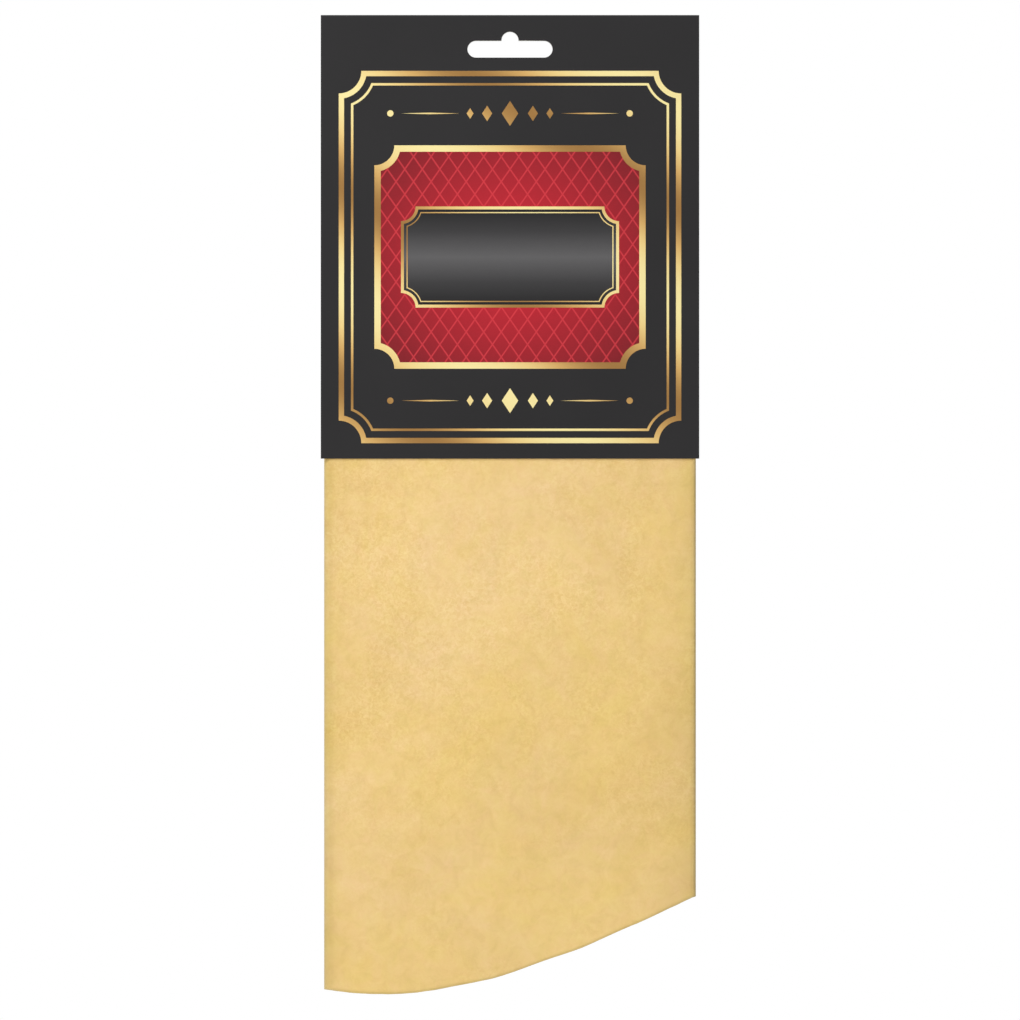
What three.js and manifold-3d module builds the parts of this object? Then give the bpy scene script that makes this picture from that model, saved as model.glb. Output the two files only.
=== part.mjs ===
import * as THREE from "three";
import { mergeVertices } from "three/addons/utils/BufferGeometryUtils.js";
import Module from "manifold-3d";

// Chamois leather folded to four plies and stapled in a creased header card with a hang slot.
// Millimetres, Z up. The front faces -Y. The origin is the top of the slot, where a hook bears,
// halfway through the header's thickness.

// Header card
const cardWidth = 142.3;
const cardHeight = 166.8;
const boardThickness = 0.5;
const creaseGap = 0.3; // between two panels at a crease, so that they can fold
const seatClearance = 0.3; // between pieces that lie against each other

// Hang slot, a long slot with a round bump in the middle of its upper edge
const slotInset = 6.2; // from the card's top edge down to the bump
const slotWidth = 32;
const slotHeight = 6.4;
const bumpWidth = 6.4;
const bumpStraight = 0.2; // of the bump's sides, below its round top
const arcSegments = 12;

// Skin
const skinThickness = 0.8;
const plyGap = 0.35;
const cardMargin = 1.25; // of the card beyond the folded skin on each side
const slotToSkin = 8.2; // from the slot down to the skin's hidden top edge
const hemDrop = 201.4; // from the card's lower edge to the hem's lowest point
const hemLowInset = 20.9; // from the left fold to that point
const hemBend = 80; // how widely the hem curves there
const hemRiseShare = 0.579; // the slope that the hem tends to on both sides of it
const innerHemLift = 2; // the inner pair of plies is shorter by this
const innerHemRun = 25; // from the centre fold to where it is
const rawEdgeInset = 6; // of the skin's two side edges, behind the centre fold
const rawEdgeWave = 2;
const rawEdgePitch = 190;
const rawCorner = 24; // radius where the hem turns into a side edge
const leanDepth = 1.2; // at the hem the left side comes forward and the right side goes back
const plyColumns = 10;
const outerFoldSteps = 6;
const innerFoldSteps = 4;
const skinRows = 8;

// Staples
const wireThickness = 0.5;
const wireWidth = 0.6;
const wireBend = 0.3; // inner radius of a bend in the wire
const crownWidth = 12.7;
const clinchGap = 3.9; // between the tips of the two legs that are turned over
const stapleInset = 26.5; // from the folded skin's edge to the middle of a staple
const stapleDrop = 14; // below the skin's top edge
const stapleSides = { left: -1, right: 1 };

const cutOverrun = 1; // how far a cut runs past what it cuts

// Heights
const cardTop = slotInset;
const cardBottom = cardTop - cardHeight;
const panelTop = cardTop - boardThickness - creaseGap;
const bumpRadius = bumpWidth / 2;
const slotTop = -bumpRadius - bumpStraight;
const slotEndRadius = slotHeight / 2;
const skinTop = slotTop - slotHeight - slotToSkin;
const hemLow = cardBottom - hemDrop;
const stapleHeight = skinTop - stapleDrop;

// Widths
const foldedWidth = cardWidth - 2 * cardMargin;
const stapleReach = foldedWidth / 2 - stapleInset;

// Depths, from the front panel back to the staples' crowns
const plyPitch = skinThickness + plyGap;
const stackDepth = 3 * plyPitch + skinThickness;
const clinchRoom = seatClearance + wireThickness + seatClearance;
const pocketDepth = clinchRoom + stackDepth + seatClearance;
const headerDepth = pocketDepth + 2 * boardThickness;
const frontFace = -headerDepth / 2;
const rearFace = headerDepth / 2;
const stackFront = frontFace + boardThickness + clinchRoom;
const stackMiddle = stackFront + stackDepth / 2;
const clinchFront = stackFront - seatClearance - wireThickness;
const crownRear = rearFace + seatClearance + wireThickness;

const board = new THREE.MeshStandardMaterial({ color: 0x363535, roughness: 0.55, metalness: 0 });
const chamois = new THREE.MeshStandardMaterial({ color: 0xebca88, roughness: 0.95, metalness: 0 });
const steel = new THREE.MeshStandardMaterial({ color: 0xb9bcc0, roughness: 0.35, metalness: 1 });

const wasm = await Module();
wasm.setup();

function solidOf(geometry) {
  const bare = geometry.clone();
  bare.deleteAttribute("normal");
  bare.deleteAttribute("uv");
  const merged = mergeVertices(bare);
  const vertProperties = merged.attributes.position.array;
  const triVerts = new Uint32Array(merged.index.array);
  return new wasm.Manifold(new wasm.Mesh({ numProp: 3, vertProperties, triVerts }));
}

function geometryOf(solid) {
  const { vertProperties, triVerts } = solid.getMesh();
  const geometry = new THREE.BufferGeometry();
  geometry.setAttribute("position", new THREE.BufferAttribute(vertProperties, 3));
  geometry.setIndex(new THREE.BufferAttribute(triVerts, 1));
  geometry.computeVertexNormals();
  return geometry;
}

function namedMesh(name, geometry, material) {
  const mesh = new THREE.Mesh(geometry, material);
  mesh.name = name;
  return mesh;
}

// A solid with a hole for each leg of the staples, cut through from frontY to rearY
function withLegHoles(solid, frontY, rearY) {
  const width = wireThickness + 2 * seatClearance;
  const height = wireWidth + 2 * seatClearance;
  const depth = rearY - frontY + 2 * cutOverrun;
  let cut = solid;
  for (const side of Object.values(stapleSides)) {
    for (const end of [-1, 1]) {
      const x = side * stapleReach + (end * (crownWidth - wireThickness)) / 2;
      const hole = new THREE.BoxGeometry(width, depth, height);
      hole.translate(x, (frontY + rearY) / 2, stapleHeight);
      cut = cut.subtract(solidOf(hole));
    }
  }
  return cut;
}

// Board panels, drawn from the front and extruded towards the back
function slotOutline() {
  const reach = slotWidth / 2 - slotEndRadius;
  const middle = slotTop - slotEndRadius;
  const path = new THREE.Path();
  path.moveTo(0, slotTop - slotHeight);
  path.absarc(reach, middle, slotEndRadius, -Math.PI / 2, Math.PI / 2, false);
  path.lineTo(bumpRadius, slotTop);
  path.absarc(0, -bumpRadius, bumpRadius, 0, Math.PI, false);
  path.lineTo(-bumpRadius, slotTop);
  path.absarc(-reach, middle, slotEndRadius, Math.PI / 2, (3 * Math.PI) / 2, false);
  path.closePath();
  return path;
}

function panelGeometry(frontY) {
  const outline = new THREE.Shape();
  outline.moveTo(-cardWidth / 2, cardBottom);
  outline.lineTo(cardWidth / 2, cardBottom);
  outline.lineTo(cardWidth / 2, panelTop);
  outline.lineTo(-cardWidth / 2, panelTop);
  outline.closePath();
  outline.holes.push(slotOutline());
  const settings = { depth: boardThickness, bevelEnabled: false, curveSegments: arcSegments };
  const geometry = new THREE.ExtrudeGeometry(outline, settings);
  geometry.rotateX(Math.PI / 2);
  geometry.translate(0, frontY + boardThickness, 0);
  return geometry;
}

function backPanelMesh() {
  const innerFace = rearFace - boardThickness;
  const solid = withLegHoles(solidOf(panelGeometry(innerFace)), innerFace, rearFace);
  return namedMesh("header_back_panel", geometryOf(solid), board);
}

function spineMesh() {
  const geometry = new THREE.BoxGeometry(cardWidth, headerDepth, boardThickness);
  const mesh = namedMesh("header_spine", geometry, board);
  mesh.position.z = cardTop - boardThickness / 2;
  return mesh;
}

// The skin's course through its plies, seen from above: its centre line, the side that was
// outside before folding, and how far along the unfolded skin each station is
function skinStations() {
  const foldX = -foldedWidth / 2 + skinThickness / 2 + 1.5 * plyPitch;
  const centreFoldX = foldedWidth / 2 - skinThickness / 2 - plyPitch / 2;
  const stations = [];
  let along = 0;

  function ply(level, fromX, toX, rawFrom, rawTo) {
    const heading = Math.sign(toX - fromX);
    const first = stations.length ? 1 : 0;
    for (let i = first; i <= plyColumns; i++) {
      const share = i / plyColumns;
      stations.push({
        x: fromX + (toX - fromX) * share,
        y: stackMiddle + level * plyPitch,
        normal: new THREE.Vector2(0, -heading),
        along: along + Math.abs(toX - fromX) * share,
        rawShare: THREE.MathUtils.lerp(rawFrom, rawTo, share),
      });
    }
    along += Math.abs(toX - fromX);
  }

  function fold(centreX, level, radius, fromAngle, toAngle, steps) {
    const turn = Math.sign(toAngle - fromAngle);
    const length = radius * Math.abs(toAngle - fromAngle);
    for (let i = 1; i <= steps; i++) {
      const angle = fromAngle + ((toAngle - fromAngle) * i) / steps;
      const out = new THREE.Vector2(Math.cos(angle), Math.sin(angle));
      stations.push({
        x: centreX + radius * out.x,
        y: stackMiddle + level * plyPitch + radius * out.y,
        normal: out.clone().multiplyScalar(turn),
        along: along + (length * i) / steps,
        rawShare: 0,
      });
    }
    along += length;
  }

  const rawX = foldedWidth / 2 - rawEdgeInset;
  ply(1.5, rawX, foldX, 1, 0);
  fold(foldX, 0, 1.5 * plyPitch, Math.PI / 2, (3 * Math.PI) / 2, outerFoldSteps);
  ply(-1.5, foldX, centreFoldX, 0, 0);
  const centre = along + (Math.PI * plyPitch) / 4;
  fold(centreFoldX, -1, plyPitch / 2, -Math.PI / 2, Math.PI / 2, innerFoldSteps);
  ply(-0.5, centreFoldX, foldX, 0, 0);
  fold(foldX, 0, plyPitch / 2, (3 * Math.PI) / 2, Math.PI / 2, innerFoldSteps);
  ply(0.5, foldX, rawX, 0, 1);
  return { stations, centre, length: along };
}

// The hem's height at a distance along the unfolded skin
function hemHeight(along, centre, length) {
  const fromCentre = Math.abs(along - centre);
  const fromLow = fromCentre - (foldedWidth - hemLowInset);
  const rise = hemRiseShare * (Math.hypot(fromLow, hemBend) - hemBend);
  const inner = along > centre ? innerHemLift * THREE.MathUtils.smoothstep(fromCentre, 0, innerHemRun) : 0;
  const toSide = Math.min(along, length - along);
  const intoCorner = Math.max(0, rawCorner - toSide);
  const corner = rawCorner - Math.sqrt(Math.max(0, rawCorner ** 2 - intoCorner ** 2));
  return hemLow + rise + inner + corner;
}

function skinMesh() {
  const { stations, centre, length } = skinStations();
  const positions = [];
  for (const side of [1, -1]) {
    for (const station of stations) {
      const hem = hemHeight(station.along, centre, length);
      for (let row = 0; row <= skinRows; row++) {
        const z = skinTop + ((hem - skinTop) * row) / skinRows;
        const sway = rawEdgeWave * Math.cos((2 * Math.PI * (z - skinTop)) / rawEdgePitch);
        const x = station.x + station.rawShare * sway;
        const loose = THREE.MathUtils.smoothstep(cardBottom - z, 0, hemDrop);
        const lean = leanDepth * loose * Math.sin((Math.PI * x) / foldedWidth);
        positions.push(x + (side * station.normal.x * skinThickness) / 2);
        positions.push(station.y + lean + (side * station.normal.y * skinThickness) / 2);
        positions.push(z);
      }
    }
  }

  const rowCount = skinRows + 1;
  const sheetCount = stations.length * rowCount;
  const at = (side, column, row) => (side === 1 ? 0 : sheetCount) + column * rowCount + row;
  const index = [];
  const quad = (a, b, c, d) => index.push(a, b, c, a, c, d);
  const last = stations.length - 1;
  for (let i = 0; i < last; i++) {
    for (let row = 0; row < skinRows; row++) {
      quad(at(1, i, row), at(1, i, row + 1), at(1, i + 1, row + 1), at(1, i + 1, row));
      quad(at(-1, i, row), at(-1, i + 1, row), at(-1, i + 1, row + 1), at(-1, i, row + 1));
    }
    quad(at(1, i, 0), at(1, i + 1, 0), at(-1, i + 1, 0), at(-1, i, 0));
    quad(at(1, i, skinRows), at(-1, i, skinRows), at(-1, i + 1, skinRows), at(1, i + 1, skinRows));
  }
  for (let row = 0; row < skinRows; row++) {
    quad(at(1, 0, row), at(-1, 0, row), at(-1, 0, row + 1), at(1, 0, row + 1));
    quad(at(1, last, row), at(1, last, row + 1), at(-1, last, row + 1), at(-1, last, row));
  }

  const sheet = new THREE.BufferGeometry();
  sheet.setAttribute("position", new THREE.Float32BufferAttribute(positions, 3));
  sheet.setIndex(index);
  const solid = withLegHoles(solidOf(sheet), stackFront, stackFront + stackDepth);
  console.log("skin laid flat: " + length.toFixed(1) + " by " + (skinTop - hemLow).toFixed(1) + " mm");
  return namedMesh("chamois_skin", geometryOf(solid), chamois);
}

// A staple is one wire: crown behind the back panel, legs through the plies, ends turned over
function stapleMesh(side) {
  const tip = clinchGap / 2;
  const outBend = wireBend + wireThickness;
  const bendX = crownWidth / 2 - outBend;
  const frontBendY = clinchFront + outBend;
  const rearBendY = crownRear - outBend;
  const quarter = Math.PI / 2;
  const outline = new THREE.Shape();
  outline.moveTo(-tip, clinchFront);
  outline.absarc(-bendX, frontBendY, outBend, 3 * quarter, 2 * quarter, true);
  outline.absarc(-bendX, rearBendY, outBend, 2 * quarter, quarter, true);
  outline.absarc(bendX, rearBendY, outBend, quarter, 0, true);
  outline.absarc(bendX, frontBendY, outBend, 0, -quarter, true);
  outline.lineTo(tip, clinchFront);
  outline.lineTo(tip, clinchFront + wireThickness);
  outline.absarc(bendX, frontBendY, wireBend, -quarter, 0, false);
  outline.absarc(bendX, rearBendY, wireBend, 0, quarter, false);
  outline.absarc(-bendX, rearBendY, wireBend, quarter, 2 * quarter, false);
  outline.absarc(-bendX, frontBendY, wireBend, 2 * quarter, 3 * quarter, false);
  outline.lineTo(-tip, clinchFront + wireThickness);
  outline.closePath();
  const settings = { depth: wireWidth, bevelEnabled: false, curveSegments: arcSegments / 2 };
  const mesh = namedMesh("staple_" + side, new THREE.ExtrudeGeometry(outline, settings), steel);
  mesh.position.set(stapleSides[side] * stapleReach, 0, stapleHeight - wireWidth / 2);
  return mesh;
}

const header = new THREE.Group();
header.add(backPanelMesh());
header.add(spineMesh());
header.add(namedMesh("header_front_panel", panelGeometry(frontFace), board));

const staples = new THREE.Group();
for (const side of Object.keys(stapleSides)) {
  staples.add(stapleMesh(side));
}

const leatherPack = new THREE.Group();
leatherPack.add(header, skinMesh(), staples);

export default leatherPack;
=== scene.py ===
import math
import bpy
import bmesh
from mathutils import Matrix, Vector, noise


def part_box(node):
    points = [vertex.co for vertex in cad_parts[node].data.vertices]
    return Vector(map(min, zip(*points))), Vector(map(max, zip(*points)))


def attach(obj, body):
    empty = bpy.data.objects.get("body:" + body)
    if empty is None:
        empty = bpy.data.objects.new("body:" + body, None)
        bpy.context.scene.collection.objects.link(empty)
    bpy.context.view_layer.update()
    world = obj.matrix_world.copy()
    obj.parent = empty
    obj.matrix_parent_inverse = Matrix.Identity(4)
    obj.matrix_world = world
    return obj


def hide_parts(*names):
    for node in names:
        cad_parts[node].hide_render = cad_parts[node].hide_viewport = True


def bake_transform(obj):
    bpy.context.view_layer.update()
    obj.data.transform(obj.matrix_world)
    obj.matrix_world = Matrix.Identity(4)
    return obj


# Chamois leather, folded to four plies, hanging from a creased header card.
# Metres, Z up, front towards -Y, origin at the top of the hang slot.
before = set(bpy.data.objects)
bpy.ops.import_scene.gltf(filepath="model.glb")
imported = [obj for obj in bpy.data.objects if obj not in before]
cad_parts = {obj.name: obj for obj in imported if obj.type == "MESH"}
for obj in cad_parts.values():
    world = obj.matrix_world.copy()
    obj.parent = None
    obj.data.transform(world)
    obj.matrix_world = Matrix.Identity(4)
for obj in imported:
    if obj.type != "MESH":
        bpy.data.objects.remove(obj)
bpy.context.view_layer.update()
mm = 0.001


# Helpers for colours, nodes and pieces

def linear(hexText):
    channels = [int(hexText[i:i + 2], 16) / 255 for i in (1, 3, 5)]
    return [c / 12.92 if c <= 0.04045 else ((c + 0.055) / 1.055) ** 2.4 for c in channels] + [1]


def addNode(tree, kind, settings=None, links=None):
    # settings are the node's own properties or its inputs, by name or number; stops fill a ramp
    node = tree.nodes.new(kind)
    for name, value in (settings or {}).items():
        if name == "stops":
            while len(node.color_ramp.elements) < len(value):
                node.color_ramp.elements.new(1)
            for element, (place, hexText) in zip(node.color_ramp.elements, value):
                element.position = place
                element.color = linear(hexText)
        elif isinstance(name, int) or name in node.inputs:
            node.inputs[name].default_value = value
        else:
            setattr(node, name, value)
    for name, socket in (links or {}).items():
        tree.links.new(socket, node.inputs[name])
    return node


def startMaterial(name, shaderSettings):
    material = bpy.data.materials.new(name)
    material.use_nodes = True
    shader = material.node_tree.nodes["Principled BSDF"]
    for socket, value in shaderSettings.items():
        shader.inputs[socket].default_value = value
    return material, material.node_tree, shader


def perMetre(sizeInMm):
    # a noise scale that repeats about once in that many millimetres
    return 1 / (sizeInMm * mm)


def bandScale(sizeInMm):
    # a wave texture's scale for bands that far apart, because its bands repeat every tau / 20
    return perMetre(sizeInMm) / 20 * math.tau


def makePiece(name, bm, materials, modifiers, sharpDegrees=35):
    mesh = bpy.data.meshes.new(name)
    bm.to_mesh(mesh)
    bm.free()
    for material in materials:
        mesh.materials.append(material)
    piece = bpy.data.objects.new(name, mesh)
    bpy.context.scene.collection.objects.link(piece)
    for kind, settings in modifiers:
        modifier = piece.modifiers.new(kind.title(), kind)
        for key, value in settings.items():
            setattr(modifier, key, value)
    bpy.context.view_layer.update()
    shaped = piece.evaluated_get(bpy.context.evaluated_depsgraph_get())
    piece.data = bpy.data.meshes.new_from_object(shaped)
    piece.modifiers.clear()
    piece.data.shade_smooth()
    piece.data.set_sharp_from_angle(angle=math.radians(sharpDegrees))
    return piece


# Materials of the card

def printInk(name, roughness):
    # offset ink under a water-based satin varnish: even colour, a soft wide highlight
    material, tree, shader = startMaterial(name, {
        "Roughness": roughness,
        "IOR": 1.48,
        "Specular IOR Level": 0.2,
    })
    place = addNode(tree, "ShaderNodeTexCoord")
    fibres = addNode(tree, "ShaderNodeTexNoise",
                     {"Scale": perMetre(0.9), "Detail": 3, "Roughness": 0.6},
                     {"Vector": place.outputs["Object"]})
    bump = addNode(tree, "ShaderNodeBump", {"Strength": 0.12, "Distance": 0.03 * mm},
                   {"Height": fibres.outputs["Fac"]})
    tree.links.new(bump.outputs["Normal"], shader.inputs["Normal"])
    return material, tree, shader, place


def blackInk():
    material, tree, shader, place = printInk("black ink on board", 0.5)
    cloud = addNode(tree, "ShaderNodeTexNoise", {"Scale": perMetre(60), "Detail": 2},
                    {"Vector": place.outputs["Object"]})
    tone = addNode(tree, "ShaderNodeValToRGB", {"stops": [(0.3, "#222122"), (0.7, "#262526")]},
                   {"Fac": cloud.outputs["Fac"]})
    tree.links.new(tone.outputs["Color"], shader.inputs["Base Color"])
    return material


def goldInk():
    # metallic gold drawn as a printed sweep from pale to tan: only partly metal, so it keeps its colour
    material, tree, shader, place = printInk("gold ink", 0.36)
    shader.inputs["Metallic"].default_value = 0.35
    turned = addNode(tree, "ShaderNodeMapping", {"Rotation": (0, math.radians(58), 0)},
                     {"Vector": place.outputs["Object"]})
    sweep = addNode(tree, "ShaderNodeTexWave",
                    {"wave_profile": "SIN", "Scale": bandScale(62),
                     "Distortion": 0.4, "Detail": 0, "Phase Offset": 2.2},
                    {"Vector": turned.outputs["Vector"]})
    tone = addNode(tree, "ShaderNodeValToRGB",
                   {"stops": [(0, "#9C7440"), (0.3, "#CFA563"), (0.62, "#E8CA84"), (1, "#F2E2A0")]},
                   {"Fac": sweep.outputs["Fac"]})
    tree.links.new(tone.outputs["Color"], shader.inputs["Base Color"])
    return material


def crimsonInk(field):
    # a diaper of fine crossing lines over a red that darkens away from the middle
    material, tree, shader, place = printInk("crimson ink", 0.42)
    centred = addNode(tree, "ShaderNodeMapping",
                      {"vector_type": "TEXTURE", "Location": (0, 0, field["middle"]),
                       "Scale": (field["fieldHalfWidth"] * field["glowWide"], 1,
                                 field["fieldHalfHeight"] * field["glowHigh"])},
                      {"Vector": place.outputs["Object"]})
    flat = addNode(tree, "ShaderNodeVectorMath", {"operation": "MULTIPLY", 1: (1, 0, 1)},
                   {0: centred.outputs["Vector"]})
    away = addNode(tree, "ShaderNodeVectorMath", {"operation": "LENGTH"}, {0: flat.outputs["Vector"]})
    glow = addNode(tree, "ShaderNodeValToRGB",
                   {"stops": [(0.15, "#C42433"), (0.6, "#A41F2B"), (1, "#7E1A23")]},
                   {"Fac": away.outputs["Value"]})
    lines = []
    for tilt in (1, -1):
        turned = addNode(tree, "ShaderNodeMapping",
                         {"Rotation": (0, math.radians(tilt * field["diaperTilt"]), 0)},
                         {"Vector": place.outputs["Object"]})
        lines.append(addNode(tree, "ShaderNodeTexWave",
                             {"wave_profile": "SIN", "Scale": bandScale(field["diaperMm"]),
                              "Distortion": 0, "Detail": 0},
                             {"Vector": turned.outputs["Vector"]}))
    crossing = addNode(tree, "ShaderNodeMath", {"operation": "MAXIMUM"},
                       {0: lines[0].outputs["Fac"], 1: lines[1].outputs["Fac"]})
    thin = addNode(tree, "ShaderNodeMapRange",
                   {"interpolation_type": "SMOOTHSTEP", "From Min": 0.955, "From Max": 0.995,
                    "To Min": 0, "To Max": 0.62},
                   {"Value": crossing.outputs["Value"]})
    laid = addNode(tree, "ShaderNodeMix", {"data_type": "RGBA", 7: linear("#DA3E47")},
                   {0: thin.outputs["Result"], 6: glow.outputs["Color"]})
    tree.links.new(laid.outputs[2], shader.inputs["Base Color"])
    return material


def charcoalInk(field):
    # a grey sweep, darkest along the plaque's long edges
    material, tree, shader, place = printInk("charcoal ink", 0.4)
    centred = addNode(tree, "ShaderNodeMapping",
                      {"vector_type": "TEXTURE", "Location": (0, 0, field["middle"]),
                       "Scale": (1, 1, field["plaqueHalfHeight"])},
                      {"Vector": place.outputs["Object"]})
    height = addNode(tree, "ShaderNodeSeparateXYZ", {}, {0: centred.outputs["Vector"]})
    away = addNode(tree, "ShaderNodeMath", {"operation": "ABSOLUTE"}, {0: height.outputs["Z"]})
    tone = addNode(tree, "ShaderNodeValToRGB",
                   {"stops": [(0, "#5C5B5C"), (0.5, "#383738"), (1, "#121112")]},
                   {"Fac": away.outputs["Value"]})
    tree.links.new(tone.outputs["Color"], shader.inputs["Base Color"])
    return material


def bareBoard(name, light, dark):
    # uncoated folding boxboard: matt, grey-white, with short fibres
    material, tree, shader = startMaterial(name, {"Roughness": 0.92, "Specular IOR Level": 0.25})
    place = addNode(tree, "ShaderNodeTexCoord")
    stretched = addNode(tree, "ShaderNodeMapping", {"Scale": (1, 1, 0.3)},
                        {"Vector": place.outputs["Object"]})
    fibres = addNode(tree, "ShaderNodeTexNoise",
                     {"Scale": perMetre(1.1), "Detail": 5, "Roughness": 0.7, "Distortion": 0.8},
                     {"Vector": stretched.outputs["Vector"]})
    tone = addNode(tree, "ShaderNodeValToRGB", {"stops": [(0.35, dark), (0.62, light)]},
                   {"Fac": fibres.outputs["Fac"]})
    bump = addNode(tree, "ShaderNodeBump", {"Strength": 0.25, "Distance": 0.05 * mm},
                   {"Height": fibres.outputs["Fac"]})
    tree.links.new(tone.outputs["Color"], shader.inputs["Base Color"])
    tree.links.new(bump.outputs["Normal"], shader.inputs["Normal"])
    return material


# Header card: one board, made as a rear and a front half that meet in the middle of the spine

card = {
    "thickness": 0.5 * mm,
    "creaseRadius": 0.6 * mm,
    "creaseSteps": 6,
    "bendReach": 1.5 * mm,      # how far from a crease's corner the board is made in rows of faces
    "bendRows": 2,              # rows of faces in that stretch, on each side of the crease
    "slotWidth": 32 * mm,
    "slotHeight": 6.4 * mm,
    "bumpWidth": 6.4 * mm,
    "bumpStraight": 0.2 * mm,
    "arcSteps": 20,
}


def sweepVert(bm, start, centre, degrees, steps):
    # a vertex swept round a centre in the card's plane, counter-clockwise seen from the front
    verts = [bm.verts.new(start)]
    for _ in range(steps):
        made = bmesh.ops.spin(bm, geom=[verts[-1]], cent=centre, axis=(0, -1, 0),
                              angle=math.radians(degrees / steps), steps=1,
                              use_duplicate=False)["geom_last"]
        verts += [g for g in made if isinstance(g, bmesh.types.BMVert)]
    return verts


def closeLoop(bm, verts):
    # the missing edges of a loop of vertices
    edges = []
    for a, b in zip(verts, verts[1:] + verts[:1]):
        edges.append(bm.edges.get((a, b)) or bm.edges.new((a, b)))
    return edges


def slotLoop(bm, y):
    end = card["slotHeight"] / 2
    bump = card["bumpWidth"] / 2
    top = -bump - card["bumpStraight"]
    reach = card["slotWidth"] / 2 - end
    middle = top - end
    verts = sweepVert(bm, (reach, y, middle - end), (reach, y, middle), 180, card["arcSteps"])
    verts.append(bm.verts.new((bump, y, top)))
    verts += sweepVert(bm, (bump, y, -bump), (0, y, -bump), 180, card["arcSteps"])
    verts.append(bm.verts.new((-bump, y, top)))
    verts += sweepVert(bm, (-reach, y, top), (-reach, y, middle), 180, card["arcSteps"])
    return closeLoop(bm, verts)


def pullEdge(bm, edge, offset):
    made = bmesh.ops.extrude_edge_only(bm, edges=[edge])["geom"]
    bmesh.ops.translate(bm, verts=[g for g in made if isinstance(g, bmesh.types.BMVert)], vec=offset)
    return next(g for g in made if isinstance(g, bmesh.types.BMEdge))


def cardHalf(name, panel, side, materials):
    # side is -1 for the front half and 1 for the rear half
    low, high = (Vector(corner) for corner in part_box(panel))
    spineHigh = Vector(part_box("header_spine")[1])
    faceY = low.y if side < 0 else high.y
    top = spineHigh.z
    radius, reach = card["creaseRadius"], card["bendReach"]
    row = (reach - radius) / card["bendRows"]
    bm = bmesh.new()
    corners = [(low.x, low.z), (high.x, low.z), (high.x, top - reach), (low.x, top - reach)]
    rim = closeLoop(bm, [bm.verts.new((x, faceY, z)) for x, z in corners])
    topEdge = rim[2]
    bmesh.ops.triangle_fill(bm, use_beauty=True, use_dissolve=False, edges=rim + slotLoop(bm, faceY))
    for _ in range(card["bendRows"]):
        topEdge = pullEdge(bm, topEdge, (0, 0, row))
    turned = bmesh.ops.spin(bm, geom=[topEdge], cent=(0, faceY - side * radius, top - radius),
                            axis=(side, 0, 0), angle=math.radians(90), steps=card["creaseSteps"],
                            use_duplicate=False)["geom_last"]
    topEdge = next(g for g in turned if isinstance(g, bmesh.types.BMEdge))
    for _ in range(card["bendRows"]):
        topEdge = pullEdge(bm, topEdge, (0, -side * row, 0))
    # on to the middle of the spine
    pullEdge(bm, topEdge, (0, -(faceY - side * reach), 0))
    bmesh.ops.recalc_face_normals(bm, faces=bm.faces)
    lowest = min(bm.faces, key=lambda f: f.calc_center_median().z)
    if lowest.normal.y * side < 0:
        bmesh.ops.reverse_faces(bm, faces=bm.faces)
    half = makePiece(name, bm, materials, [("SOLIDIFY", {
        "thickness": card["thickness"], "offset": -1, "use_even_offset": True,
        "material_offset": 1, "material_offset_rim": 2,
    })])
    if side < 0:
        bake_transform(half)
        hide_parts(panel)
    else:
        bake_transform(half)
        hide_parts(panel, "header_spine")


boardMaterials = [
    blackInk(),
    bareBoard("uncoated back of the board", "#DAD6CC", "#CBC6BA"),
    bareBoard("cut edge of the board", "#CFCAC0", "#A9A49A"),
]
cardHalf("header_card_front", "header_front_panel", -1, boardMaterials)
cardHalf("header_card_rear", "header_back_panel", 1, boardMaterials)
print("header card made")


# Print on the card: a generic ticket-shaped frame round a diapered field with a bare plaque

design = {
    "middle": -84.8 * mm,
    "halfWidth": 64.4 * mm,
    "halfHeight": 70 * mm,
    "scoop": 8.5 * mm,          # radius of the hollowed corners
    "frameBand": 2 * mm,
    "innerInset": 4.6 * mm,
    "innerBand": 0.9 * mm,
    "fieldHalfWidth": 51 * mm,
    "fieldHalfHeight": 42 * mm,
    "fieldScoop": 7.5 * mm,
    "fieldBand": 2.4 * mm,
    "glowWide": 1.2,            # the red is darkest this many half widths from the middle,
    "glowHigh": 1.25,           # and this many half heights
    "plaqueHalfWidth": 41 * mm,
    "plaqueHalfHeight": 19 * mm,
    "plaqueScoop": 5.5 * mm,
    "plaqueBand": 1.1 * mm,
    "hairlineInset": 2.1 * mm,
    "hairline": 0.4 * mm,
    "ornamentOffset": 54 * mm,  # of the ornament rows from the middle
    # each lozenge's distance from the middle, half width and half height
    "lozenges": [(0, 3.1 * mm, 4.7 * mm), (8.6 * mm, 1.9 * mm, 2.9 * mm), (15 * mm, 1.3 * mm, 2 * mm)],
    "ruleFrom": 19 * mm,
    "ruleTo": 41 * mm,
    "ruleHalfHeight": 0.3 * mm,
    "roundelPlace": 45 * mm,
    "roundelRadius": 1.2 * mm,
    "roundelCorners": 24,
    "rearBand": 0.9 * mm,
    "arcSteps": 14,
    "diaperMm": 5.4,
    "diaperTilt": 35,
    "layer": 0.015 * mm,        # how far each layer of print stands above the one below
}
frontFace = Vector(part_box("header_front_panel")[0]).y
rearFace = Vector(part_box("header_back_panel")[1]).y


def ticketLoop(bm, y, size, inset=0):
    # a rectangle with hollow corners, drawn that far inside its outline
    halfWidth, halfHeight, scoop = size
    radius = scoop + inset
    trim = math.asin(inset / radius)
    verts = []
    for quarter, (sideX, sideZ) in enumerate(((1, -1), (1, 1), (-1, 1), (-1, -1))):
        centre = Vector((sideX * halfWidth, y, design["middle"] + sideZ * halfHeight))
        turn = math.radians(180 + 90 * quarter) - trim
        start = centre + radius * Vector((math.cos(turn), 0, math.sin(turn)))
        verts += sweepVert(bm, start, centre, math.degrees(2 * trim) - 90, design["arcSteps"])
    return verts


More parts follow.
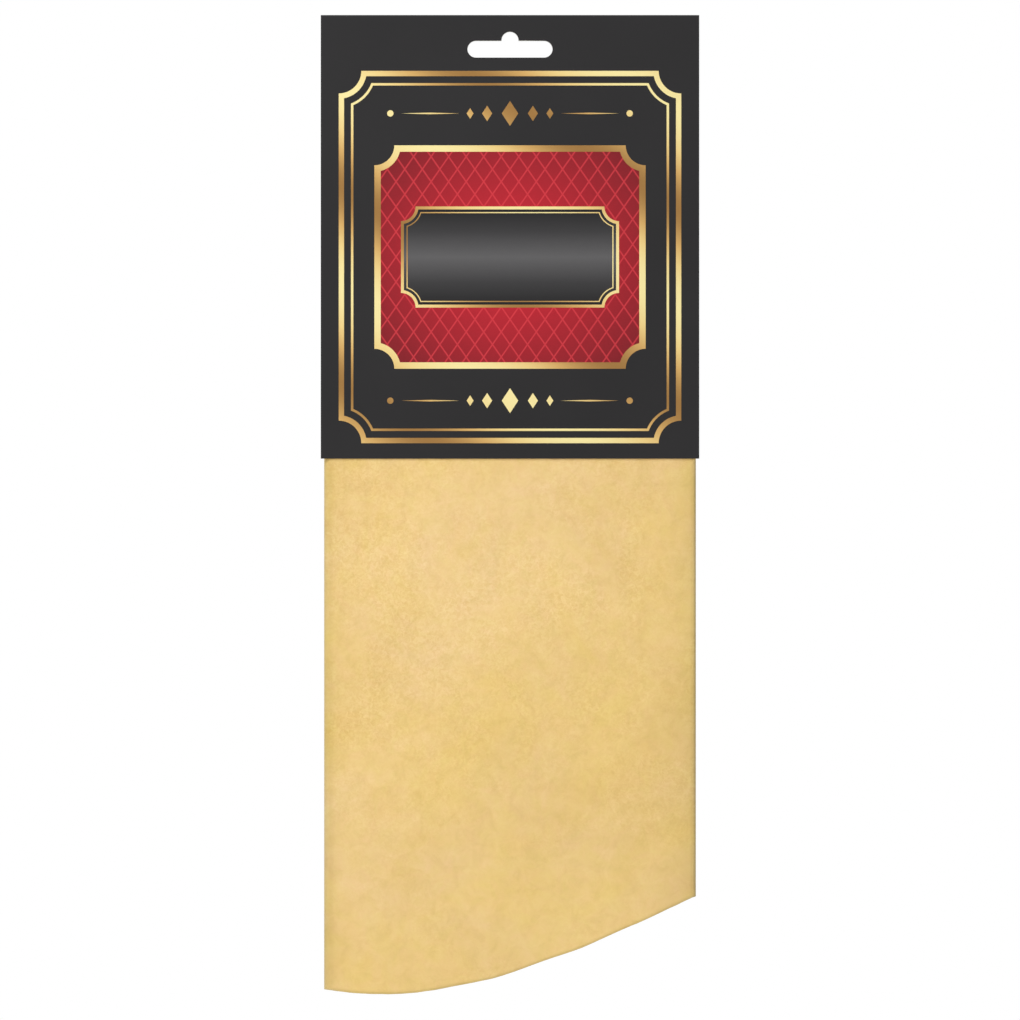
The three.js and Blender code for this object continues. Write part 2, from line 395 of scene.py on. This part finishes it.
def fillLoop(bm, verts):
    closeLoop(bm, verts)
    bm.faces.new(verts)


def bandBetween(bm, outer, inner):
    edges = closeLoop(bm, outer) + closeLoop(bm, inner)
    bmesh.ops.bridge_loops(bm, edges=edges)


def printLayer(name, bm, material, layer, side=-1, body="front_flap"):
    # turns flat faces into a thin film that stands on the card
    bmesh.ops.recalc_face_normals(bm, faces=bm.faces)
    for face in bm.faces:
        if face.normal.y * side < 0:
            face.normal_flip()
    height = layer * design["layer"]
    bmesh.ops.translate(bm, verts=bm.verts, vec=(0, side * height, 0))
    film = makePiece(name, bm, [material], [
        ("SOLIDIFY", {"thickness": height + design["layer"], "offset": -1, "use_even_offset": True}),
    ])
    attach(film, body)


gold = goldInk()
crimson = crimsonInk(design)
charcoal = charcoalInk(design)
plaqueSize = (design["plaqueHalfWidth"], design["plaqueHalfHeight"], design["plaqueScoop"])
frameSize = (design["halfWidth"], design["halfHeight"], design["scoop"])
fieldSize = (design["fieldHalfWidth"], design["fieldHalfHeight"], design["fieldScoop"])

bm = bmesh.new()
fillLoop(bm, ticketLoop(bm, frontFace, fieldSize, design["fieldBand"] / 2))
printLayer("crimson_field", bm, crimson, 1)

bm = bmesh.new()
fillLoop(bm, ticketLoop(bm, frontFace, plaqueSize))
printLayer("charcoal_plaque", bm, charcoal, 2)

bm = bmesh.new()
for inset, band in ((0, design["frameBand"]), (design["innerInset"], design["innerBand"])):
    bandBetween(bm, ticketLoop(bm, frontFace, frameSize, inset),
                ticketLoop(bm, frontFace, frameSize, inset + band))
printLayer("gold_frame", bm, gold, 3)

bm = bmesh.new()
bandBetween(bm, ticketLoop(bm, frontFace, fieldSize),
            ticketLoop(bm, frontFace, fieldSize, design["fieldBand"]))
printLayer("gold_field_band", bm, gold, 3)

bm = bmesh.new()
for inset, band in ((0, design["plaqueBand"]), (design["hairlineInset"], design["hairline"])):
    bandBetween(bm, ticketLoop(bm, frontFace, plaqueSize, inset),
                ticketLoop(bm, frontFace, plaqueSize, inset + band))
printLayer("gold_plaque_rim", bm, gold, 3)


def flatShape(bm, x, z, halfWidth, halfHeight, corners=4):
    # a lozenge, or with more corners a disc, on the card's face
    made = bmesh.ops.create_circle(bm, cap_ends=True, radius=1, segments=corners)["verts"]
    bmesh.ops.scale(bm, verts=made, vec=(halfWidth, halfHeight, 1))
    bmesh.ops.rotate(bm, verts=made, cent=(0, 0, 0), matrix=Matrix.Rotation(math.radians(90), 3, "X"))
    bmesh.ops.translate(bm, verts=made, vec=(x, frontFace, z))


bm = bmesh.new()
for up in (-1, 1):
    rowZ = design["middle"] + up * design["ornamentOffset"]
    for offset, halfWidth, halfHeight in design["lozenges"]:
        for x in sorted({-offset, offset}):  # once where it is in the middle
            flatShape(bm, x, rowZ, halfWidth, halfHeight)
    ruleHalf = (design["ruleTo"] - design["ruleFrom"]) / 2
    for sideX in (-1, 1):
        flatShape(bm, sideX * (design["ruleFrom"] + ruleHalf), rowZ, ruleHalf, design["ruleHalfHeight"])
        flatShape(bm, sideX * design["roundelPlace"], rowZ,
                  design["roundelRadius"], design["roundelRadius"], design["roundelCorners"])
printLayer("gold_ornaments", bm, gold, 3)

bm = bmesh.new()
bandBetween(bm, ticketLoop(bm, rearFace, frameSize),
            ticketLoop(bm, rearFace, frameSize, design["rearBand"]))
printLayer("gold_rear_rule", bm, gold, 3, side=1, body="back_and_skin")
print("print laid on the card")


# Chamois skin

skin = {
    "thickness": 0.8 * mm,
    "seat": 0.3 * mm,           # from the back panel to the rear ply
    "pocketPitch": 1.15 * mm,   # from ply to ply at the staples
    "mouthPitch": 1.45 * mm,    # at the card's lower edge, where the plies fill the card
    "mouthReach": 70 * mm,      # how far above that edge they begin to spread
    "hemPitch": 1.75 * mm,      # and at the hem, where nothing presses them
    "rawInset": 6 * mm,
    "rawWave": 2 * mm,
    "rawWaveMm": 190,
    "rawCorner": 24 * mm,
    "hemLowInset": 20.9 * mm,
    "hemBend": 80 * mm,
    "hemSlope": 0.579,
    "innerLift": 2 * mm,
    "innerRun": 25 * mm,
    "lean": 1.2 * mm,
    "plyColumns": 56,
    "columnEase": 0.6,          # how much closer the columns stand beside the folds
    "outerFoldColumns": 12,
    "innerFoldColumns": 8,
    "rows": 104,
    "rowsEnd": 5.2 * mm,        # the even rows end this far above the hem, and closer ones follow
    "hemRows": [2.6 * mm, 1.7 * mm, 1 * mm, 0.5 * mm, 0.2 * mm, 0],
    "dentDepth": 0.8 * mm,      # slow unevenness of a skin that has lain folded
    "dentMm": 52,
    "dentPlace": 0.3,
    "rippleDepth": 0.1 * mm,
    "rippleMm": 11,
    "ripplePlace": 0.6,
    "rippleOnset": 3,           # the ripple is whole well above the hem
    "kinkDepth": 0.5 * mm,      # the shears' long strokes along the hem
    "kinkMm": 16,
    "kinkPlace": 14.8,
    "nibbleDepth": 0.12 * mm,   # and the small unevenness of a soft edge
    "nibbleMm": 3.5,
    "nibblePlace": 3,
    "curlDepth": 0.7 * mm,      # the folds hang a little further back than the middle
    "curlReach": 16 * mm,
    "shadeAndRubDepth": 0.6,            # painted shade with an olive-grey rub, in a line along cut edges and folds:
    "shadeAndRubLines": (0.7 * mm, 2 * mm, 0.7 * mm, 0.7 * mm),  # at a cut, the outer, centre and inner fold
    "foldShadeReach": 5 * mm,         # and faintly, as painted shade alone, for some way beside the folds
    "foldShadeShares": (0.2, 0.3, 0.3),
    "napFallFrom": 95 * mm,     # the nap lies flatter towards the hem: this far above its lowest point
    "napFallTo": 45 * mm,       # that begins, and here it ends
    "napFallShare": 0.5,
    "edgeRound": 0.2 * mm,
    "edgeSteps": 2,
}


def smooth(share):
    share = min(max(share, 0), 1)
    return share * share * (3 - 2 * share)


def mix(a, b, share):
    return a + (b - a) * share


def skinColumns(width):
    # the unfolded skin from one side edge to the other, as (part, share of it, distance along)
    pitch, half = skin["pocketPitch"], skin["thickness"] / 2
    backPly = width - skin["rawInset"] - half - 1.5 * pitch
    frontPly = width - 2 * half - 2 * pitch
    parts = [
        ("rearPly", skin["plyColumns"], backPly),
        ("outerFold", skin["outerFoldColumns"], math.pi * 1.5 * pitch),
        ("frontPly", skin["plyColumns"], frontPly),
        ("centreFold", skin["innerFoldColumns"], math.pi * pitch / 2),
        ("secondPly", skin["plyColumns"], frontPly),
        ("innerFold", skin["innerFoldColumns"], math.pi * pitch / 2),
        ("thirdPly", skin["plyColumns"], backPly),
    ]
    columns, along = [("rearPly", 0, 0)], 0
    folds = []
    for part, count, length in parts:
        ease = 0 if part.endswith("Fold") else skin["columnEase"]
        for i in range(1, count + 1):
            share = i / count - ease * math.sin(math.tau * i / count) / math.tau
            columns.append((part, share, along + length * share))
        if part.endswith("Fold"):
            folds.append(along + length / 2)
        along += length
    return columns, folds, along


def foldedPoint(part, share, pitch, left, right, sway):
    # where a point of the unfolded skin lies in the folded stack, seen from above: the four plies
    # stand half a pitch and one and a half pitches in front of the stack's middle and behind it
    half = skin["thickness"] / 2
    leftX = left + half + 1.5 * pitch
    rightX = right - half - pitch / 2
    rawX = right - skin["rawInset"] + sway
    if part == "rearPly":
        return mix(rawX, leftX, share), 1.5 * pitch
    if part == "frontPly":
        return mix(leftX, rightX, share), -1.5 * pitch
    if part == "secondPly":
        return mix(rightX, leftX, share), -0.5 * pitch
    if part == "thirdPly":
        return mix(leftX, rawX, share), 0.5 * pitch
    if part == "outerFold":
        angle = math.radians(90 + 180 * share)
        return leftX + 1.5 * pitch * math.cos(angle), 1.5 * pitch * math.sin(angle)
    if part == "centreFold":
        angle = math.radians(-90 + 180 * share)
        return rightX + 0.5 * pitch * math.cos(angle), -pitch + 0.5 * pitch * math.sin(angle)
    angle = math.radians(270 - 180 * share)
    return leftX + 0.5 * pitch * math.cos(angle), 0.5 * pitch * math.sin(angle)


def hemHeight(along, centre, length, width, lowest):
    fromCentre = abs(along - centre)
    fromLow = fromCentre - (width - skin["hemLowInset"])
    rise = skin["hemSlope"] * (math.hypot(fromLow, skin["hemBend"]) - skin["hemBend"])
    inner = skin["innerLift"] * smooth(fromCentre / skin["innerRun"]) if along > centre else 0
    intoCorner = max(0, skin["rawCorner"] - min(along, length - along))
    corner = skin["rawCorner"] - math.sqrt(max(0, skin["rawCorner"] ** 2 - intoCorner ** 2))
    kink = skin["kinkDepth"] * noise.noise(
        Vector((along * perMetre(skin["kinkMm"]), 0, skin["kinkPlace"])))
    nibble = skin["nibbleDepth"] * noise.noise(
        Vector((along * perMetre(skin["nibbleMm"]), 0, skin["nibblePlace"])))
    return lowest + rise + inner + corner + kink + nibble


def chamoisSuede(hemLow):
    # oil-tanned sheepskin split, buffed on both sides: deep matt nap in a cloudy, uneven buff,
    # with painted shade and an olive-grey rub where it is folded or cut, and painted shade beside the
    # folds
    material, tree, shader = startMaterial("oil-tanned chamois nap", {
        "Roughness": 0.95,
        "Specular IOR Level": 0.12,
        "Sheen Weight": 0.18,
        "Sheen Roughness": 0.55,
        "Sheen Tint": linear("#FBE9C4"),
    })
    place = addNode(tree, "ShaderNodeUVMap", {"uv_map": "flatSkin"}).outputs["UV"]

    def cloud(sizeMm, detail, distortion, layout=None):
        # layout moves, turns or stretches the pattern on the flat skin
        vector = place
        if layout:
            vector = addNode(tree, "ShaderNodeMapping", layout, {"Vector": place}).outputs["Vector"]
        return addNode(tree, "ShaderNodeTexNoise",
                       {"Scale": perMetre(sizeMm), "Detail": detail, "Roughness": 0.62,
                        "Distortion": distortion}, {"Vector": vector}).outputs["Fac"]

    def tinted(colour, pattern, stops):
        tint = addNode(tree, "ShaderNodeValToRGB", {"stops": stops}, {"Fac": pattern})
        return addNode(tree, "ShaderNodeVectorMath", {"operation": "MULTIPLY"},
                       {0: colour, 1: tint.outputs["Color"]}).outputs["Vector"]

    tanning = cloud(64, 3, 0.6, {"Location": (3.935, 4.789, 0)})
    yellowing = cloud(60, 4, 0.9, {"Location": (4.202, 2.574, 0)})
    flush = cloud(8, 3, 0.8, {"Location": (3.1, 1.7, 0)})
    mottle = cloud(6, 5, 0.7)
    roughPlaces = cloud(40, 3, 0.7, {"Location": (8.135, 6.879, 0)})
    # the nap's real fibres are under 0.1 mm, too fine to show, so they are drawn in 1.4 mm tufts
    nap = cloud(1.4, 3, 1.1)
    crinkle = cloud(1.5, 3, 0.9, {"Rotation": (0, 0, 0.12), "Scale": (0.3, 1, 1)})

    base = addNode(tree, "ShaderNodeValToRGB",
                   {"stops": [(0.3, "#EBCA89"), (0.7, "#F5D59D")]}, {"Fac": tanning}).outputs["Color"]
    yellowed = tinted(base, yellowing, [(0.3, "#FDFCFF"), (0.7, "#FFFFE9")])
    flushed = tinted(yellowed, flush, [(0.35, "#FFFDFF"), (0.65, "#FDFFF8")])
    mottled = tinted(flushed, mottle, [(0.3, "#F6F3EB"), (0.5, "#FCFAF6"), (0.68, "#FFFFFF")])
    # small tufts show most in some patches, hardly in others and less towards the hem,
    # and they are deeper in colour where they part
    height = addNode(tree, "ShaderNodeSeparateXYZ", {}, {0: place})
    hemward = addNode(tree, "ShaderNodeMapRange",
                      {"interpolation_type": "SMOOTHSTEP", "From Min": hemLow + skin["napFallTo"],
                       "From Max": hemLow + skin["napFallFrom"], "To Min": skin["napFallShare"]},
                      {"Value": height.outputs["Y"]})
    places = addNode(tree, "ShaderNodeMapRange",
                     {"From Min": 0.4, "From Max": 0.62, "To Min": 0.3, "To Max": 1.15},
                     {"Value": roughPlaces})
    ruffled = addNode(tree, "ShaderNodeMath", {"operation": "MULTIPLY"},
                      {0: places.outputs["Result"], 1: hemward.outputs["Result"]})
    tufts = addNode(tree, "ShaderNodeMapRange",
                    {"From Min": 0.35, "From Max": 0.65, "To Min": -0.074, "To Max": 0.048},
                    {"Value": nap})
    patchy = addNode(tree, "ShaderNodeMath", {"operation": "MULTIPLY"},
                     {0: tufts.outputs["Result"], 1: ruffled.outputs["Value"]})
    parting = addNode(tree, "ShaderNodeVectorMath",
                      {"operation": "MULTIPLY_ADD", 1: (0.7, 1.2, 2.2), 2: (1, 1, 1)},
                      {0: patchy.outputs["Value"]})
    tufted = addNode(tree, "ShaderNodeVectorMath", {"operation": "MULTIPLY"},
                     {0: mottled, 1: parting.outputs["Vector"]}).outputs["Vector"]
    # painted shade beside a fold, and painted shade with an olive grey on the fold or cut itself
    handled = addNode(tree, "ShaderNodeAttribute", {"attribute_name": "handled"})
    shadedAndRubbed = tinted(tufted, handled.outputs["Fac"], [(0, "#FFFFFF"), (0.3, "#EAEBE2"), (1, "#CFDAE6")])
    tree.links.new(shadedAndRubbed, shader.inputs["Base Color"])

    soft = addNode(tree, "ShaderNodeBump", {"Strength": 0.5, "Distance": 0.35 * mm}, {"Height": mottle})
    folds = addNode(tree, "ShaderNodeBump", {"Strength": 0.4, "Distance": 0.15 * mm},
                    {"Height": crinkle, "Normal": soft.outputs["Normal"]})
    fine = addNode(tree, "ShaderNodeBump", {"Strength": 0.5, "Distance": 0.4 * mm},
                   {"Height": patchy.outputs["Value"], "Normal": folds.outputs["Normal"]})
    tree.links.new(fine.outputs["Normal"], shader.inputs["Normal"])
    return material


def cutSuede():
    # the shears leave the split's fibres open: a rougher, greyer line than the nap
    material, tree, shader = startMaterial("cut edge of the chamois", {
        "Roughness": 1,
        "Specular IOR Level": 0.08,
    })
    place = addNode(tree, "ShaderNodeTexCoord")
    fibres = addNode(tree, "ShaderNodeTexNoise",
                     {"Scale": perMetre(0.4), "Detail": 4, "Roughness": 0.7},
                     {"Vector": place.outputs["Object"]})
    tone = addNode(tree, "ShaderNodeValToRGB",
                   {"stops": [(0.35, "#B0945F"), (0.55, "#CDAE74"), (0.7, "#DFC288")]},
                   {"Fac": fibres.outputs["Fac"]})
    bump = addNode(tree, "ShaderNodeBump", {"Strength": 0.8, "Distance": 0.15 * mm},
                   {"Height": fibres.outputs["Fac"]})
    tree.links.new(tone.outputs["Color"], shader.inputs["Base Color"])
    tree.links.new(bump.outputs["Normal"], shader.inputs["Normal"])
    return material


def makeSkin():
    low, high = (Vector(corner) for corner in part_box("chamois_skin"))
    cardLow = Vector(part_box("header_front_panel")[0]).z
    width = high.x - low.x
    # the plies are counted from the back panel's inner face
    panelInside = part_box("header_back_panel")[0][1]
    stackY = panelInside - skin["seat"] - 1.5 * skin["pocketPitch"] - skin["thickness"] / 2
    columns, folds, length = skinColumns(width)
    centre = folds[1]
    rows = skin["rows"] + len(skin["hemRows"])
    bm = bmesh.new()
    bmesh.ops.create_grid(bm, x_segments=len(columns) - 1, y_segments=rows - 1, size=1)
    flat = bm.loops.layers.uv.new("flatSkin")
    # per vertex: painted shade along folds and cut edges with an olive-grey rub, and fainter painted
    # shade beside the folds
    handled = bm.verts.layers.float.new("handled")
    spots = {}
    for vert in bm.verts:
        part, share, along = columns[round((vert.co.x + 1) / 2 * (len(columns) - 1))]
        row = round((1 - vert.co.y) / 2 * (rows - 1))
        hem = hemHeight(along, centre, length, width, low.z)
        if row < skin["rows"]:
            z = mix(high.z, hem + skin["rowsEnd"], row / (skin["rows"] - 1))
        else:
            z = hem + skin["hemRows"][row - skin["rows"]]
        loose = smooth((cardLow - z) / (cardLow - low.z))
        spread = smooth(1 - (z - cardLow) / skin["mouthReach"])
        pitch = mix(mix(skin["pocketPitch"], skin["mouthPitch"], spread), skin["hemPitch"], loose)
        # inside the card the rear ply stays on the back panel and the others move forward
        forward = 1.5 * (skin["mouthPitch"] - skin["pocketPitch"]) * spread * (1 - loose)
        sway = skin["rawWave"] * math.cos(math.tau * (high.z - z) / (skin["rawWaveMm"] * mm))
        x, y = foldedPoint(part, share, pitch, low.x, high.x, sway)
        lean = skin["lean"] * math.sin(math.pi * x / width)
        dent = skin["dentDepth"] * noise.noise(
            Vector((x, skin["dentPlace"], z)) * perMetre(skin["dentMm"]))
        ripple = skin["rippleDepth"] * noise.noise(
            Vector((x, skin["ripplePlace"], z)) * perMetre(skin["rippleMm"]))
        ripple *= min(1, skin["rippleOnset"] * loose)
        curl = skin["curlDepth"] * smooth(1 - (width / 2 - abs(x)) / skin["curlReach"])
        vert.co = (x, stackY + y - forward + loose * (lean + dent + curl) + ripple, z)
        # painted shade: strongest in a line on folds and cut edges, where an olive-grey rub goes with
        # it, and fainter beside the folds
        toFolds = [abs(along - fold) for fold in folds]
        toCut = min(z - hem, along, length - along)
        shadeAndRubLine = max(math.exp(-(gap / reach) ** 2)
                   for gap, reach in zip([toCut] + toFolds, skin["shadeAndRubLines"]))
        besideFoldShade = max(depth * math.exp(-gap / skin["foldShadeReach"])
                   for gap, depth in zip(toFolds, skin["foldShadeShares"]))
        vert[handled] = skin["shadeAndRubDepth"] * shadeAndRubLine + besideFoldShade
        spots[vert] = (along, z)
    for face in bm.faces:
        for loop in face.loops:
            loop[flat].uv = spots[loop.vert]
    bmesh.ops.recalc_face_normals(bm, faces=bm.faces)
    flatArea = sum((b[2] - a[2]) * (high.z - hemHeight((a[2] + b[2]) / 2, centre, length, width, low.z))
                   for a, b in zip(columns, columns[1:]))
    piece = makePiece("chamois", bm, [chamoisSuede(low.z), cutSuede()], [
        ("SOLIDIFY", {"thickness": skin["thickness"], "offset": 0, "use_even_offset": True,
                      "material_offset_rim": 1}),
        ("BEVEL", {"width": skin["edgeRound"], "segments": skin["edgeSteps"], "limit_method": "ANGLE",
                   "angle_limit": math.radians(60)}),
    ], sharpDegrees=180)
    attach(piece, "back_and_skin")
    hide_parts("chamois_skin")
    print("skin made:", round(length / mm), "mm wide laid flat,", round(flatArea, 4), "square metres")


makeSkin()


# Staples keep their solids

def galvanisedWire():
    # drawn and zinc-plated steel: grey, with fine lines along the wire
    material, tree, shader = startMaterial("galvanised staple wire", {
        "Metallic": 1,
        "Roughness": 0.34,
    })
    place = addNode(tree, "ShaderNodeTexCoord")
    drawn = addNode(tree, "ShaderNodeMapping", {"Scale": (0.05, 1, 1)},
                    {"Vector": place.outputs["Object"]})
    lines = addNode(tree, "ShaderNodeTexNoise", {"Scale": perMetre(0.12), "Detail": 2},
                    {"Vector": drawn.outputs["Vector"]})
    tone = addNode(tree, "ShaderNodeValToRGB", {"stops": [(0.35, "#A3A6AA"), (0.65, "#C6C9CC")]},
                   {"Fac": lines.outputs["Fac"]})
    bump = addNode(tree, "ShaderNodeBump", {"Strength": 0.3, "Distance": 0.02 * mm},
                   {"Height": lines.outputs["Fac"]})
    tree.links.new(tone.outputs["Color"], shader.inputs["Base Color"])
    tree.links.new(bump.outputs["Normal"], shader.inputs["Normal"])
    return material


wire = galvanisedWire()
for name in ("staple_left", "staple_right"):
    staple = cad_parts[name]
    staple.data.materials.clear()
    staple.data.materials.append(wire)
print("staples finished")


# Studio: pale floor, white surroundings, soft light

studio = {
    "floorDrop": 170 * mm,      # below the skin's lowest point
    "floorHalf": 12,
    "nearRadius": 0.35,         # the floor shows its shadow inside this and is plain white beyond
    "farRadius": 0.8,
    "surroundings": 0.47,
    "floorGlow": 0.45,          # how much of plain white shows through the floor near the object
    # each lamp's power, size and place
    "lamps": {
        "key": (8.75, 0.8, (-0.62, -0.75, 0.4)),
        "fill": (0.4, 1.1, (1.3, -1.3, -0.05)),
        "back": (13, 1, (0.7, 1.3, 0.4)),
    },
}


def seenDirectly(tree):
    # 1 for rays that show the surroundings: camera, mirror-like and through glass
    path = addNode(tree, "ShaderNodeLightPath")
    either = addNode(tree, "ShaderNodeMath", {"operation": "MAXIMUM"},
                     {0: path.outputs["Is Camera Ray"], 1: path.outputs["Is Glossy Ray"]})
    return addNode(tree, "ShaderNodeMath", {"operation": "MAXIMUM"},
                   {0: either.outputs[0], 1: path.outputs["Is Transmission Ray"]}).outputs[0]


def makeFloor(height):
    bm = bmesh.new()
    bmesh.ops.create_grid(bm, x_segments=1, y_segments=1, size=studio["floorHalf"])
    bmesh.ops.translate(bm, verts=bm.verts, vec=(0, 0, height))
    mesh = bpy.data.meshes.new("floor")
    bm.to_mesh(mesh)
    bm.free()
    floor = bpy.data.objects.new("floor", mesh)
    bpy.context.scene.collection.objects.link(floor)
    material, tree, shader = startMaterial("pale studio floor", {
        "Base Color": linear("#F4F4F3"),
        "Roughness": 0.9,
        "Specular IOR Level": 0.1,
    })
    place = addNode(tree, "ShaderNodeTexCoord")
    across = addNode(tree, "ShaderNodeVectorMath", {"operation": "MULTIPLY", 1: (1, 1, 0)},
                     {0: place.outputs["Object"]})
    away = addNode(tree, "ShaderNodeVectorMath", {"operation": "LENGTH"}, {0: across.outputs["Vector"]})
    far = addNode(tree, "ShaderNodeMapRange",
                  {"interpolation_type": "SMOOTHSTEP", "From Min": studio["nearRadius"],
                   "From Max": studio["farRadius"], "To Min": studio["floorGlow"]},
                  {"Value": away.outputs["Value"]})
    shown = addNode(tree, "ShaderNodeMath", {"operation": "MULTIPLY"},
                    {0: far.outputs["Result"], 1: seenDirectly(tree)})
    white = addNode(tree, "ShaderNodeEmission", {"Color": (1, 1, 1, 1), "Strength": 1})
    blend = addNode(tree, "ShaderNodeMixShader", {},
                    {0: shown.outputs[0], 1: shader.outputs["BSDF"], 2: white.outputs["Emission"]})
    tree.links.new(blend.outputs["Shader"], tree.nodes["Material Output"].inputs["Surface"])
    mesh.materials.append(material)


def makeWorld():
    world = bpy.data.worlds.new("white studio")
    world.use_nodes = True
    tree = world.node_tree
    strength = addNode(tree, "ShaderNodeMapRange", {"To Min": studio["surroundings"], "To Max": 1},
                       {"Value": seenDirectly(tree)})
    background = tree.nodes["Background"]
    background.inputs["Color"].default_value = (1, 1, 1, 1)
    tree.links.new(strength.outputs["Result"], background.inputs["Strength"])
    bpy.context.scene.world = world


def addLamp(name, power, size, place, target):
    lamp = bpy.data.lights.new(name, "AREA")
    lamp.energy = power
    lamp.shape = "DISK"
    lamp.size = size
    holder = bpy.data.objects.new(name, lamp)
    holder.location = place
    holder.rotation_euler = (Vector(target) - Vector(place)).to_track_quat("-Z", "Y").to_euler()
    bpy.context.scene.collection.objects.link(holder)


skinLow = Vector(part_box("chamois_skin")[0]).z
makeFloor(skinLow - studio["floorDrop"])
makeWorld()
for name, (power, size, place) in studio["lamps"].items():
    addLamp(name, power, size, place, (0, 0, skinLow / 2))
print("studio lit")


# Camera, straight in front as in the photograph

view = {
    "mmPerPixel": 0.376,
    "frameSide": 1020,
    "slotTopRow": 31.5,         # pixel row of the slot's top, which is this scene's origin
    "lens": 600,                # long and far, because the photograph is almost without perspective
    "sensor": 36,
}
camera = bpy.data.cameras.new("camera")
camera.lens = view["lens"]
camera.sensor_width = view["sensor"]
cameraHolder = bpy.data.objects.new("camera", camera)
frameWidth = view["frameSide"] * view["mmPerPixel"] * mm
cameraZ = (view["slotTopRow"] - view["frameSide"] / 2) * view["mmPerPixel"] * mm
cameraHolder.location = (0, frontFace - frameWidth * view["lens"] / view["sensor"], cameraZ)
cameraHolder.rotation_euler = (math.radians(90), 0, 0)
bpy.context.scene.collection.objects.link(cameraHolder)
bpy.context.scene.camera = cameraHolder
bpy.context.scene.view_settings.view_transform = "Standard"
